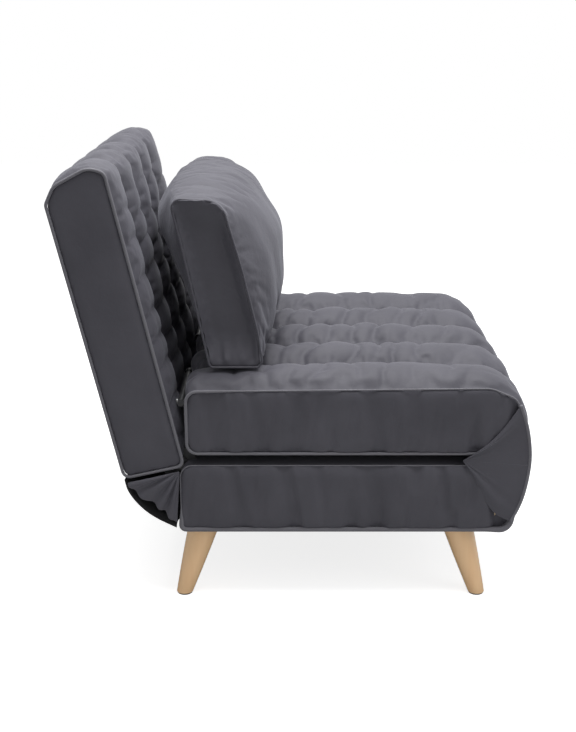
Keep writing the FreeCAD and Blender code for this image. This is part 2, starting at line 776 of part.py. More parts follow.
def build_joining_fabric():
    side = half + fit_gap
    overlap = side_draw + 4.0
    lowest = lean_point(back_rear + 12.0, back_start - 3.0)
    tail = (base_rear - fit_gap, base_bottom + 14.0)
    near = (lowest[0] + 24.0, (lowest[1] + tail[1]) / 2 - 8.0)
    fan_path = [
        (pivot_x + overlap, pivot_z), lean_point(back_rear + overlap, back_start + overlap), lowest,
        (near, tail), (base_rear + overlap, base_bottom + overlap)]
    group("rear_gussets", both(plate_xz(fan_path, side, side + sheet)))
    inner = [lowest, (near, tail)]
    lift = 2.0
    lining = plate_xz([
        inner[0], inner[1], (tail[0], tail[1] + lift),
        ((near[0] + lift, near[1] + lift), (lowest[0] + lift, lowest[1] + 0.4))], -seam, seam)
    parts["rear_lining"] = lining

    def fan(inset):
        """Outer fabric from the side: two fold lines from the crease, and the front between them."""
        x = front_x - inset
        return [
            (front_x - 116.0, crease),
            (front_x - 63.0, seat_top - 74.0),
            (x - 1.0, seat_top - 40.0),
            ((x + 7.0, seat_top - 80.0), (x + 11.5, crease)),
            ((x + 3.0, base_bottom + 77.0), (x - 17.0, base_bottom + 21.0)),
            (front_x - 72.0, base_top - 38.0),
        ]
    outer = plate_xz(fan(0.0), -side - sheet, side + sheet)
    x_in = front_x - sheet
    inside = plate_xz([
        (front_x - wrap_reach, crease), (front_x - wrap_reach, seat_top + wrap_over),
        (x_in - 12.0, seat_top + wrap_over),
        (x_in - 1.0, seat_top - 40.0),
        ((x_in + 7.0, seat_top - 80.0), (x_in + 11.5, crease)),
        ((x_in + 3.0, base_bottom + 77.0), (x_in - 17.0, base_bottom + 21.0)),
        (x_in - 31.0, base_bottom - wrap_over), (front_x - wrap_reach, base_bottom - wrap_over)], -side, side)
    parts["front_wrap"] = biggest(outer.cut(inside))


# Loose pillow that stands on the seat and leans on the back

def pillow_outline(full, inset):
    """Pillow from the side: flat where it stands, leaning front and rear, rounded top."""
    low = seat_top + seat_crown + crown_swell + fit_gap + inset
    rear = seat_rear + pillow_ahead + inset
    front = rear + pillow_foot - 2 * inset
    top = low + pillow_height - 2 * inset
    touch_f = back_face + back_crown - crown_fall + fit_gap
    touch_x, touch_z = lean_point(touch_f, pillow_touch)
    slack_x = rear - 92.0
    rear_x = slack_x + (touch_x - slack_x) * full
    slope = math.tan(lean)
    rise = 0.94 * (top - touch_z)
    return [
        (rear, low),
        (front, low),
        ((front + 14.0 + 12.0 * full, low + 26.0), (front + 18.0 + 26.0 * full, low + 96.0)),
        ((front - 10.0 + 30.0 * full, low + 0.66 * pillow_height), (front - 92.0, top - 16.0)),
        ((front - 128.0, top + 2.0), (rear_x + 20.0 - rise * slope * full, touch_z + rise)),
        ((rear_x, touch_z), (rear - 50.0, low + 128.0)),
        ((rear - 31.0, low + 58.0), (rear, low)),
    ]


def build_pillow():
    pillow_half = pillow_width / 2
    rim = pillow_half - pillow_side_bulge
    shares = (1.0, 0.8, 0.5)
    fulls = {1.0: 0.0, 0.8: 0.55, 0.5: 0.85}
    places = [(-rim * s, fulls[s]) for s in shares] + [(0.0, 1.0)]
    places += [(-y, full) for y, full in reversed(places[:-1])]
    body = Part.makeLoft([wire_at(y, pillow_outline(full, 0.0)) for y, full in places], True, False)
    end = Part.makeLoft([wire_at(rim, pillow_outline(0.0, 0.0)),
                         wire_at(pillow_half, pillow_outline(0.0, 14.0))], True, True)
    shape = biggest(body.fuse(both(end)))
    low = seat_top + seat_crown + crown_swell + pillow_wall
    x0 = seat_rear + pillow_ahead - 14.0
    filling_half = rim - filling_side
    filling = box(0, pillow_foot - filling_trim, -filling_half, filling_half, 0, pillow_height * 0.8)
    filling.rotate(vec(0, 0, 0), axis_y, -back_lean)
    filling.translate(vec(x0 + filling_trim, 0, low))
    parts["pillow_cover"] = biggest(shape.cut(filling))
    parts["pillow_filling"] = filling


hinge = hinge_parts()
lower_leaves, upper_leaves, leaf_pins = front_hinges()
leg_holes = build_legs()
build_base(hinge, lower_leaves, leaf_pins, leg_holes)
build_seat(upper_leaves)
build_foot_legs()
build_back(hinge)
pair("pawl", hinge["pawl"])
build_joining_fabric()
build_pillow()

# Origin under the middle of the whole part
everything = Part.makeCompound(list(parts.values()))
bounds = everything.optimalBoundingBox(False, False)
shift = vec(-(bounds.XMin + bounds.XMax) / 2, 0, -bounds.ZMin)
os.makedirs("parts", exist_ok=True)
for name, shape in parts.items():
    placed = shape.copy()
    placed.translate(shift)
    placed.exportStep("parts/" + name + ".step")
    print(name, len(placed.Solids), "solids", round(placed.Volume / 1000, 1), "cm3", placed.isValid())

foot_x, foot_y, foot_z = foot_place()
print("size", bounds.XLength, bounds.YLength, bounds.ZLength, "shift", shift.x, shift.z)
print("back pivot", pivot_x + shift.x, pivot_z + shift.z)
print("front hinge", hinge_x + shift.x, crease + shift.z)
print("foot pivot", foot_x + shift.x, foot_y, foot_z + shift.z)
print("pawl pivot", hinge["pawl_at"][0] + shift.x, hinge["pawl_at"][1] + shift.z)
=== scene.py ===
import bpy, bmesh, json, math
import numpy as np
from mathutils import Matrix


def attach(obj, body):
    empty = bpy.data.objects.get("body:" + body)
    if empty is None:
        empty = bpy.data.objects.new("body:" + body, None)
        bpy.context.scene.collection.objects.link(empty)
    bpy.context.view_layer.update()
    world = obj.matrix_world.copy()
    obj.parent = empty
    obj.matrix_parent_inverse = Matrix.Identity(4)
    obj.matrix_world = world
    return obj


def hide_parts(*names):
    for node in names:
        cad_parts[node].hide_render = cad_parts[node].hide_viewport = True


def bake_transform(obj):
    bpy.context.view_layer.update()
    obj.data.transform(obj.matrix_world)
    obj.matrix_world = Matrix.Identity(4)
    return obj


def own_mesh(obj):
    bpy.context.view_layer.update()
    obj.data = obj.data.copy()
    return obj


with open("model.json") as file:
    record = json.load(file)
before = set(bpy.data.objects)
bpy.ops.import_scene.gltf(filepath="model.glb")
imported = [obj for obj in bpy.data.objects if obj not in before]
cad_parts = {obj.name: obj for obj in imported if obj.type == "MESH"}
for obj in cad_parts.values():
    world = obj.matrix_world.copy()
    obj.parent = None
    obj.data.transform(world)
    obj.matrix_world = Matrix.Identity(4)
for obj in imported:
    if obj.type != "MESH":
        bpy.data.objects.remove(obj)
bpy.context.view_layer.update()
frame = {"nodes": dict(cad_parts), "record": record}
nodes = frame["nodes"]
print("frame loaded:", len(nodes), "nodes")

# Metres, X forward, Z up, near side of the photograph at -Y
chair = {
    "baseRear": -0.2190, "seatRear": -0.2050, "front": 0.4314,
    "baseBottom": 0.140, "baseTop": 0.275, "seatBottom": 0.296, "seatTop": 0.422,
    "half": 0.350, "seam": 0.344,                                    # side panel, and its seam
    "stitches": (-0.21, -0.07, 0.07, 0.21), "stitched": 0.30,        # rows of thread, and how far out they dip
    "pivotX": -0.2211, "pivotZ": 0.265, "lean": math.radians(12.7),  # foot of the back
}
sideName = {-1: "Near", 1: "Far"}


# Points along a closed outline of straight runs and corner arcs, evenly spaced by length
def roundedPath(corners, count):
    spots = np.array([c[:2] for c in corners], float)
    run = []
    for i, (x, z, radius) in enumerate(corners):
        here = spots[i]
        back = spots[i - 1] - here
        ahead = spots[(i + 1) % len(spots)] - here
        back /= np.linalg.norm(back)
        ahead /= np.linalg.norm(ahead)
        halfAngle = math.acos(float(np.clip(back @ ahead, -1, 1))) / 2
        reach = radius / math.tan(halfAngle)
        middle = (back + ahead) / np.linalg.norm(back + ahead)
        centre = here + middle * radius / math.sin(halfAngle)
        a, b = here + back * reach - centre, here + ahead * reach - centre
        t = np.linspace(0, 1, 14)[:, None]
        arc = a * (1 - t) + b * t
        arc *= radius / np.linalg.norm(arc, axis=1)[:, None]
        run.append(centre + arc)
    line = np.vstack(run + [run[0][:1]])
    length = np.r_[0, np.cumsum(np.linalg.norm(np.diff(line, axis=0), axis=1))]
    even = np.linspace(0, length[-1], count, endpoint=False)
    return np.stack([np.interp(even, length, line[:, 0]), np.interp(even, length, line[:, 1])], 1)


# A grid of points as quads, joined round in either direction where it is a ring or tube
def gridMesh(name, points, ringRows=False, ringColumns=False):
    rows, columns = points.shape[:2]
    index = np.arange(rows * columns).reshape(rows, columns)
    if ringRows:
        index = np.vstack([index, index[:1]])
    if ringColumns:
        index = np.hstack([index, index[:, :1]])
    quads = np.stack([index[:-1, :-1], index[1:, :-1], index[1:, 1:], index[:-1, 1:]], -1).reshape(-1, 4)
    mesh = bpy.data.meshes.new(name)
    mesh.from_pydata(points.reshape(-1, 3).tolist(), [], quads.tolist())
    piece = bpy.data.objects.new(name, mesh)
    bpy.context.scene.collection.objects.link(piece)
    return piece


# Merges doubled points at the poles and turns every face outwards
def closeUp(piece, gap=1e-5):
    work = bmesh.new()
    work.from_mesh(piece.data)
    bmesh.ops.remove_doubles(work, verts=work.verts, dist=gap)
    bmesh.ops.recalc_face_normals(work, faces=work.faces)
    work.to_mesh(piece.data)
    work.free()


# Every point of a mesh as an array, and the array put back
def readPoints(piece):
    co = np.empty(len(piece.data.vertices) * 3, np.float32)
    piece.data.vertices.foreach_get("co", co)
    return co.reshape(-1, 3).astype(float)


def writePoints(piece, points):
    piece.data.vertices.foreach_set("co", points.astype(np.float32).ravel())
    piece.data.update()


# The normal at every point, as an array
def readNormals(piece):
    no = np.empty(len(piece.data.vertices) * 3, np.float32)
    piece.data.vertex_normals.foreach_get("vector", no)
    return no.reshape(-1, 3).astype(float)


# Slow unevenness of hand-pulled cloth: a sum of sine waves in fixed directions, about -1 to 1
def unevenness(x, y, z, scale, seed):
    pick = np.random.default_rng(seed)
    total = np.zeros_like(x)
    for k in range(7):
        way = pick.normal(size=3)
        way *= (0.7 + 0.8 * pick.random()) * 2 * math.pi / scale / np.linalg.norm(way)
        total += np.sin(x * way[0] + y * way[1] + z * way[2] + pick.random() * 6.28)
    return total / 3.2


# 0 below low, 1 above high, and an S between them
def smooth(low, high, value):
    t = np.clip((value - low) / (high - low), 0, 1)
    return t * t * (3 - 2 * t)


# A cord of round section along a path: a ring of points at each place, square to the path
def cordAlong(name, path, radius, closed=True, sides=8):
    path = np.asarray(path, float)
    ahead = np.roll(path, -1, 0) - np.roll(path, 1, 0) if closed else np.gradient(path, axis=0)
    ahead /= np.linalg.norm(ahead, axis=1)[:, None]
    side = np.cross(ahead, [0.0, 1.0, 0.0])
    weak = np.linalg.norm(side, axis=1) < 0.2  # the path runs along Y here
    side[weak] = np.cross(ahead[weak], [1.0, 0.0, 0.0])
    side /= np.linalg.norm(side, axis=1)[:, None]
    up = np.cross(side, ahead)
    turn = np.linspace(0, 2 * math.pi, sides, endpoint=False)
    ring = side[:, None] * np.cos(turn)[None, :, None] + up[:, None] * np.sin(turn)[None, :, None]
    piece = gridMesh(name, path[:, None] + ring * radius, closed, True)
    if not closed:
        capEnds(piece, len(path), sides)
    shadeSmooth(piece)
    return piece


# One flat face over each end of an open cord
def capEnds(piece, rows, sides):
    work = bmesh.new()
    work.from_mesh(piece.data)
    work.verts.ensure_lookup_table()
    work.faces.new([work.verts[i] for i in range(sides)])
    work.faces.new([work.verts[(rows - 1) * sides + i] for i in reversed(range(sides))])
    bmesh.ops.recalc_face_normals(work, faces=work.faces)
    work.to_mesh(piece.data)
    work.free()


# Smooth shading on every face
def shadeSmooth(piece):
    piece.data.polygons.foreach_set("use_smooth", np.ones(len(piece.data.polygons), bool))
    piece.data.update()


# Even skin of small quads over a closed shape
def reskin(piece, voxel):
    skin = piece.modifiers.new("skin", "REMESH")
    skin.mode = "VOXEL"
    skin.voxel_size = voxel
    applyAll(piece)


# The mesh as its modifiers leave it takes the mesh's place
def applyAll(piece):
    baked = bpy.data.meshes.new_from_object(piece.evaluated_get(bpy.context.evaluated_depsgraph_get()))
    piece.modifiers.clear()
    piece.data = baked


# Stuffing pushes the cover out between the places where thread or frame holds it.
# held is 0 where the cloth is free and 1 where it is sewn or fixed
def stuff(piece, held, pressure, spare, cap, frames=20):
    start = readPoints(piece)
    group = piece.vertex_groups.new(name="held")
    for step in range(1, 11):
        chosen = np.nonzero(np.round(held * 10) == step)[0]
        if len(chosen):
            group.add(chosen.tolist(), step / 10, "REPLACE")
    cloth = piece.modifiers.new("stuffing", "CLOTH")
    settings = cloth.settings
    settings.quality = 5
    settings.mass = 0.3
    settings.use_pressure = True
    settings.uniform_pressure_force = pressure
    settings.vertex_group_mass = "held"
    settings.shrink_min = -spare
    settings.tension_stiffness = 15
    settings.compression_stiffness = 15
    settings.bending_stiffness = 0.3
    settings.effector_weights.gravity = 0
    cloth.collision_settings.use_collision = False
    scene = bpy.context.scene
    for number in range(1, frames + 1):
        scene.frame_set(number)
    applyAll(piece)
    moved = readPoints(piece) - start
    far = np.linalg.norm(moved, axis=1)
    keep = cap * np.tanh(far / cap) / np.maximum(far, 1e-9)
    writePoints(piece, start + moved * keep[:, None])
    scene.frame_set(1)
    piece.vertex_groups.clear()


# One level of subdivision, after the stuffing
def refine(piece):
    finer = piece.modifiers.new("finer", "SUBSURF")
    finer.levels = finer.render_levels = 1
    applyAll(piece)
    shadeSmooth(piece)


# Where a point lies across the channels: 0 on a stitch line, 1 in the middle of a channel
def acrossChannel(y):
    edges = np.array([-chair["seam"], *chair["stitches"], chair["seam"]])
    which = np.clip(np.searchsorted(edges, y) - 1, 0, 4)
    share = np.clip((y - edges[which]) / (edges[which + 1] - edges[which]), 0, 1)
    return 1 - np.abs(2 * share - 1), which


# Height across a channel: 0 on its stitch line, steep beside it and nearly flat in the middle
def channelHeight(across):
    return 1 - (1 - across) ** 2.4


# How firmly thread holds the cover: 1 on the stitch lines and the side seams, 0 inside a channel
def sewnAt(y):
    held = 1 - smooth(0.03, 0.16, acrossChannel(y)[0])
    return np.where(np.abs(np.abs(y) - chair["seam"]) < 0.006, 1, held)


# Sheet of cloth from a grid of points: its poles are closed, and its wall lies half to each side
def clothSheet(name, points, thick):
    piece = gridMesh(name, points)
    closeUp(piece, 1e-6)
    wall = piece.modifiers.new("wall", "SOLIDIFY")
    wall.thickness = thick
    wall.offset = 0
    applyAll(piece)
    shadeSmooth(piece)
    return piece


# Smooth open curve near a few points, evenly spaced: corners are cut at a quarter, four times over
def openCurve(points, count):
    line = np.asarray(points, float)
    for _ in range(4):
        ends = line[:1], line[-1:]
        cut = np.stack([line[:-1] * 0.75 + line[1:] * 0.25, line[:-1] * 0.25 + line[1:] * 0.75], 1)
        line = np.vstack([ends[0], cut.reshape(-1, line.shape[1]), ends[1]])
    length = np.r_[0, np.cumsum(np.linalg.norm(np.diff(line, axis=0), axis=1))]
    even = np.linspace(0, length[-1], count)
    return np.stack([np.interp(even, length, line[:, k]) for k in range(line.shape[1])], 1)


print("tools ready")


# A new material with its node tree and its shader
def newMaterial(name):
    material = bpy.data.materials.new(name)
    material.use_nodes = True
    tree = material.node_tree
    shader = tree.nodes["Principled BSDF"]
    return material, tree, shader


def add(tree, kind, **values):
    node = tree.nodes.new(kind)
    for key, value in values.items():
        setattr(node, key, value)
    return node


# Colour that goes from first to second with the factor
def mixColour(tree, factor, first, second):
    mix = add(tree, "ShaderNodeMix", data_type="RGBA")
    mix.inputs["A"].default_value = (*first, 1)
    mix.inputs["B"].default_value = (*second, 1)
    tree.links.new(factor, mix.inputs["Factor"])
    return mix.outputs["Result"]


# Noise over the object's own coordinates, drawn out along an axis where stretch is small
def noiseOn(tree, scale, detail=3, stretch=None):
    place = add(tree, "ShaderNodeTexCoord")
    source = place.outputs["Object"]
    if stretch:
        mapping = add(tree, "ShaderNodeMapping")
        mapping.inputs["Scale"].default_value = stretch
        tree.links.new(source, mapping.inputs["Vector"])
        source = mapping.outputs["Vector"]
    noise = add(tree, "ShaderNodeTexNoise")
    noise.inputs["Scale"].default_value = scale
    noise.inputs["Detail"].default_value = detail
    tree.links.new(source, noise.inputs["Vector"])
    return noise.outputs["Fac"]


# Height fields added up, each with its own strength in millimetres
def bumpFrom(tree, shader, *fields):
    normal = None
    for height, depth in fields:
        bump = add(tree, "ShaderNodeBump")
        bump.inputs["Strength"].default_value = 1.0
        bump.inputs["Distance"].default_value = depth / 1000
        tree.links.new(height, bump.inputs["Height"])
        if normal:
            tree.links.new(normal, bump.inputs["Normal"])
        normal = bump.outputs["Normal"]
    tree.links.new(normal, shader.inputs["Normal"])


# The cord colours are lighter than the cover's: a painted highlight for the light the round piping catches from
# the front
velvet = {
    "dark": (0.053, 0.0515, 0.063), "light": (0.093, 0.091, 0.108),
    "cordDarkPaintedHighlight": (0.125, 0.123, 0.140), "cordLightPaintedHighlight": (0.175, 0.172, 0.190),
    "roughness": 0.60, "sheen": 0.20, "rumple": 1.2, "pile": 0.12,  # heights in millimetres
}


# Velvet: patches of nap, a short sheen, soft rumples and the fine pile
def velvetCloth(name, dark, light):
    material, tree, shader = newMaterial(name)
    nap = noiseOn(tree, 9, 4)
    tree.links.new(mixColour(tree, nap, dark, light), shader.inputs["Base Color"])
    shader.inputs["Roughness"].default_value = velvet["roughness"]
    shader.inputs["Specular IOR Level"].default_value = 0.25
    shader.inputs["Sheen Weight"].default_value = velvet["sheen"]
    shader.inputs["Sheen Roughness"].default_value = 0.4
    shader.inputs["Sheen Tint"].default_value = (0.75, 0.76, 0.85, 1)
    pile = noiseOn(tree, 900, 2)
    rumple = noiseOn(tree, 38, 3)
    bumpFrom(tree, shader, (rumple, velvet["rumple"]), (pile, velvet["pile"]))
    return material


coverCloth = velvetCloth("coverCloth", velvet["dark"], velvet["light"])
# Piping in the cover's velvet, made lighter as a painted highlight of the light the cord catches
pipingClothPaintedHighlight = velvetCloth("pipingClothPaintedHighlight", velvet["cordDarkPaintedHighlight"], velvet["cordLightPaintedHighlight"])


# Matt woven cloth or foam: fine noise, three times as fine along Y
def plainCloth(name, dark, light, scale):
    material, tree, shader = newMaterial(name)
    weave = noiseOn(tree, scale, 2, (1, 3, 1))
    tree.links.new(mixColour(tree, weave, dark, light), shader.inputs["Base Color"])
    shader.inputs["Roughness"].default_value = 0.9
    bumpFrom(tree, shader, (weave, 0.2))
    return material


liningCloth = plainCloth("liningCloth", (0.010, 0.010, 0.011), (0.028, 0.028, 0.031), 700)
paddingFoam = plainCloth("paddingFoam", (0.66, 0.60, 0.44), (0.80, 0.75, 0.58), 350)


# Pale timber: long stretched noise for the grain, a finer one for pores, under a satin coat
def timber(name, dark, light, stretch, coat):
    material, tree, shader = newMaterial(name)
    grain = noiseOn(tree, 14, 6, stretch)
    tree.links.new(mixColour(tree, grain, dark, light), shader.inputs["Base Color"])
    shader.inputs["Roughness"].default_value = 0.42 if coat else 0.7
    shader.inputs["Coat Weight"].default_value = coat
    shader.inputs["Coat Roughness"].default_value = 0.3
    pores = noiseOn(tree, 220, 2, stretch)
    bumpFrom(tree, shader, (pores, 0.06))
    return material


legTimber = timber("legTimber", (0.92, 0.57, 0.30), (1.0, 0.69, 0.39), (7, 7, 0.5), 0.35)
frameTimber = timber("frameTimber", (0.52, 0.37, 0.20), (0.70, 0.54, 0.34), (0.6, 5, 5), 0.0)


# Painted or plated hardware and moulded plastic: uneven wear and a fine grain
def hardware(name, dark, light, roughness, metallic):
    material, tree, shader = newMaterial(name)
    wear = noiseOn(tree, 60, 4)
    tree.links.new(mixColour(tree, wear, dark, light), shader.inputs["Base Color"])
    shader.inputs["Metallic"].default_value = metallic
    shader.inputs["Roughness"].default_value = roughness
    bumpFrom(tree, shader, (noiseOn(tree, 500, 2), 0.05))
    return material


blackSteel = hardware("blackSteel", (0.020, 0.020, 0.022), (0.045, 0.045, 0.048), 0.45, 0.0)
zincSteel = hardware("zincSteel", (0.20, 0.205, 0.21), (0.31, 0.31, 0.305), 0.5, 1.0)
blackPlastic = hardware("blackPlastic", (0.016, 0.016, 0.017), (0.032, 0.032, 0.034), 0.5, 0.0)

finishes = {
    "cover_fabric": coverCloth, "piping_fabric": pipingClothPaintedHighlight, "black_cloth": liningCloth, "foam": paddingFoam,
    "leg_wood": legTimber, "frame_wood": frameTimber, "steel_black": blackSteel, "steel_zinc": zincSteel,
    "plastic_black": blackPlastic,
}


# The finish of a material slot, on a piece
def dress(piece, slot):
    piece.data.materials.clear()
    piece.data.materials.append(finishes[slot])


for part in frame["record"]["subparts"]:
    dress(nodes[part["node"]], part["material_slot"])
print("finishes ready:", len(finishes))


seatForm = {
    "crown": 0.024, "stitchDip": 0.013, "foldPitch": 0.057, "foldDepth": 0.0100, "sideBulge": 0.006,
    "voxel": 0.007, "pressure": 4.0, "spare": 0.035, "cap": 0.010, "wrinkle": 0.0074, "pucker": 0.0042,
}


# A closed cushion from side to side: the outline at each station across, then end panels that
# shrink to a point and stand out by bulge on the way
def cushionGrid(name, outline, stations, bulge):
    centre = outline.mean(0)
    half = stations[-1]
    body = np.empty((len(stations), len(outline), 3))
    body[..., 0] = outline[None, :, 0]
    body[..., 1] = stations[:, None]
    body[..., 2] = outline[None, :, 1]
    shrink = np.linspace(0, 1, 26)[1:]
    ends = []
    for side in (-1, 1):
        end = np.empty((len(shrink), len(outline), 3))
        flat = centre + (outline - centre)[None] * (1 - shrink)[:, None, None]
        end[..., 0] = flat[..., 0]
        end[..., 2] = flat[..., 1]
        end[..., 1] = side * (half + bulge * np.sin(np.minimum(shrink * 3.2, 1) * math.pi / 2))[:, None]
        ends.append(end)
    return gridMesh(name, np.concatenate([ends[0][::-1], body, ends[1]]), False, True)


# Cover, filling and body of a cushion that rides as a whole. The fill argument is not used
def finishCushion(piece, fill, body, *standsFor):
    dress(piece, "cover_fabric")
    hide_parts(*standsFor)
    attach(piece, body)


# Side view of the seat, inset from its seam
def seatOutline(inset):
    rear, front = chair["seatRear"] + inset, chair["front"] - inset
    low, top = chair["seatBottom"] + inset, chair["seatTop"] - inset
    return roundedPath([
        (rear, low, 0.020), (front - 0.001, low, 0.007), (front, top - 0.058, 0.03),
        (front - 0.019, top - 0.014, 0.030), (front - 0.066, top + 0.006, 0.05), (rear, top, 0.022),
    ], 420)


# Quilted top at a place: height across its channel, the gathered bumps along it, and how strong they are
def seatQuilt(x, y):
    across, which = acrossChannel(y)
    wobble = 0.010 * np.sin(y * 31 + which * 1.9) + 0.012 * np.sin(x * 23 + which * 2.3)
    drift = 0.016 * unevenness(x, y, 0 * x, 0.16, 11)
    turn = math.pi * (x + wobble + drift + which * 0.021) / seatForm["foldPitch"]
    bumps = np.abs(np.sin(turn)) ** 0.7 * (0.75 + 0.35 * unevenness(x, y, 0 * x, 0.11, 12))
    rearward = 1 - 0.75 * smooth(0.16, 0.40, x)
    plainNear = np.where((which == 0) | (which == 4), 0.35, 1.0)
    return channelHeight(across), bumps, rearward * plainNear


# Height of a point along the leaning back, and how far its normal looks forward and upward there
def alongBack(p, n):
    c, s = math.cos(chair["lean"]), math.sin(chair["lean"])
    up = -(p[:, 0] - chair["pivotX"]) * s + (p[:, 2] - chair["pivotZ"]) * c
    return up, n[:, 0] * c + n[:, 2] * s, -n[:, 0] * s + n[:, 2] * c


# Gathering along each stitch line: short creases that start at the thread and fade out to both sides,
# deeper toward the rear of the seat and the foot of the back
def pucker(piece, depth, where):
    p, n = readPoints(piece), readNormals(piece)
    gap = np.min(np.abs(np.abs(p[:, 1])[:, None] - np.array(chair["stitches"][2:])[None]), axis=1)
    if where == "seat":
        along, fade, face = p[:, 0], 1 - 0.7 * smooth(0.18, 0.40, p[:, 0]), smooth(0.3, 0.8, n[:, 2])
    else:
        along, forward, _ = alongBack(p, n)
        fade, face = 1 - 0.8 * smooth(0.35, 0.55, along), smooth(0.3, 0.8, forward)
    line = np.sign(p[:, 1]) * np.where(np.abs(p[:, 1]) < 0.14, 1, 2)
    wander = 0.35 * unevenness(p[:, 0], p[:, 1], p[:, 2], 0.07, 41)
    crease = np.abs(np.sin(math.pi * along / 0.0285 + line * 1.3 + wander * 3)) ** 0.5
    near = np.exp(-(gap / 0.026) ** 2)
    thread = np.exp(-(gap / 0.0035) ** 2)
    sunk = depth * (1 - crease) * near * fade + 0.0025 * thread
    writePoints(piece, p - n * (sunk * face)[:, None])


# Upright wrinkles in the side panels: narrow valleys along the height, deepest between two places
def pullSides(piece, depth, begin, end, seed):
    p, n = readPoints(piece), readNormals(piece)
    side = smooth(0.5, 0.9, np.abs(n[:, 1]))
    wave = unevenness(p[:, 0] + 0.12 * p[:, 2], p[:, 1] * 0.2, p[:, 2] * 0.10, 0.045, seed)
    fine = unevenness(p[:, 0] - 0.20 * p[:, 2], p[:, 1] * 0.2, p[:, 2] * 0.16, 0.026, seed + 1)
    strong = 0.55 + 0.45 * smooth(begin, end, p[:, 0])
    sunk = 0.45 - np.clip(wave + 0.05, 0, 1) * 1.5 - 0.5 * np.clip(fine, 0, 1)
    writePoints(piece, p + n * (depth * sunk * side * strong)[:, None])


# The seat is a plain cushion, raised over its channels and bumps, stuffed, then gathered at the thread
def makeSeat():
    stations = np.linspace(-chair["seam"], chair["seam"], 200)
    piece = cushionGrid("seatCushion", seatOutline(0.002), stations, seatForm["sideBulge"] - 0.002)
    closeUp(piece)
    reskin(piece, seatForm["voxel"])
    p, n = readPoints(piece), readNormals(piece)
    top = smooth(0.0, 0.7, n[:, 2])
    face = np.maximum(top, smooth(0.2, 0.8, n[:, 0]) * 0.8)  # top and front, not sides or underside
    channel, bumps, strength = seatQuilt(p[:, 0], p[:, 1])
    middle = np.sin(np.clip((p[:, 0] - chair["seatRear"]) / 0.60, 0, 1) * math.pi) ** 0.5
    rise = seatForm["crown"] * (0.35 + 0.65 * channel) * (0.45 + 0.55 * middle)
    rise += seatForm["foldDepth"] * (bumps - 0.6) * strength * (0.45 + 0.55 * channel)
    rise -= seatForm["stitchDip"] * (1 - channel) * (np.abs(p[:, 1]) < chair["stitched"]) * (0.8 + 0.4 * bumps)
    inside = smooth(0, 0.02, chair["seam"] - np.abs(p[:, 1]))
    writePoints(piece, p + n * (rise * face * inside)[:, None])
    p, n = readPoints(piece), readNormals(piece)
    held = np.maximum(sewnAt(p[:, 1]), smooth(0.3, 0.7, -n[:, 2]))
    held = np.maximum(held, smooth(0.5, 0.9, -n[:, 0]))
    stuff(piece, held, seatForm["pressure"], seatForm["spare"], seatForm["cap"])
    refine(piece)
    pucker(piece, seatForm["pucker"], "seat")
    pullSides(piece, seatForm["wrinkle"], 0.14, 0.40, 5)
    return piece


finishCushion(makeSeat(), 0.75, "seat", "seat_cover", "seat_lower_foam", "seat_upper_foam")
print("seat made")


baseForm = {"sideBulge": 0.006, "voxel": 0.007, "wrinkle": 0.0070}


# Side view of the base, with its nose cut back below
def baseOutline(inset):
    rear, front = chair["baseRear"] + inset, chair["front"] - inset
    low, top = chair["baseBottom"] + inset, chair["baseTop"] - inset
    return roundedPath([
        (rear, low, 0.008), (front - 0.022, low, 0.022), (front - 0.014, low + 0.026, 0.02),
        (front - 0.003, low + 0.078, 0.06), (front, top, 0.005), (rear, top, 0.024),
    ], 420)


# The base is a firm plain cushion with wrinkled sides
def makeBase():
    stations = np.linspace(-chair["seam"], chair["seam"], 160)
    piece = cushionGrid("baseCushion", baseOutline(0.0008), stations, baseForm["sideBulge"])
    closeUp(piece)
    reskin(piece, baseForm["voxel"])
    refine(piece)
    pullSides(piece, baseForm["wrinkle"], 0.10, 0.38, 8)
    return piece


finishCushion(makeBase(), 0.9, "base", "base_cover", "base_foam")
print("base made")


backForm = {
    "face": 0.0137, "rear": -0.105, "low": 0.004, "top": 0.586, "crown": 0.008, "stitchDip": 0.007,
    "foldPitch": 0.060, "foldDepth": 0.0055, "sideBulge": 0.006, "voxel": 0.007,
    "pressure": 4.0, "spare": 0.03, "cap": 0.009, "pucker": 0.0040,
}


# A place forward of the back's foot and up along the back, turned by the lean
def leanPlace(forward, up):
    c, s = math.cos(chair["lean"]), math.sin(chair["lean"])
    return chair["pivotX"] + forward * c - up * s, chair["pivotZ"] + forward * s + up * c


# Side view of the back, with its rounded top
def backOutline(inset):
    face, rear = backForm["face"] - inset, backForm["rear"] + inset
    low, top = backForm["low"] + inset, backForm["top"] - inset
    flat = roundedPath([
        (face, low, 0.014), (rear, low, 0.014), (rear, top - 0.046, 0.014),
        (rear + 0.022, top - 0.018, 0.03), (face - 0.028, top, 0.035), (face, top - 0.014, 0.016),
    ], 420)
    x, z = leanPlace(flat[:, 0], flat[:, 1])
    return np.stack([x, z], 1)


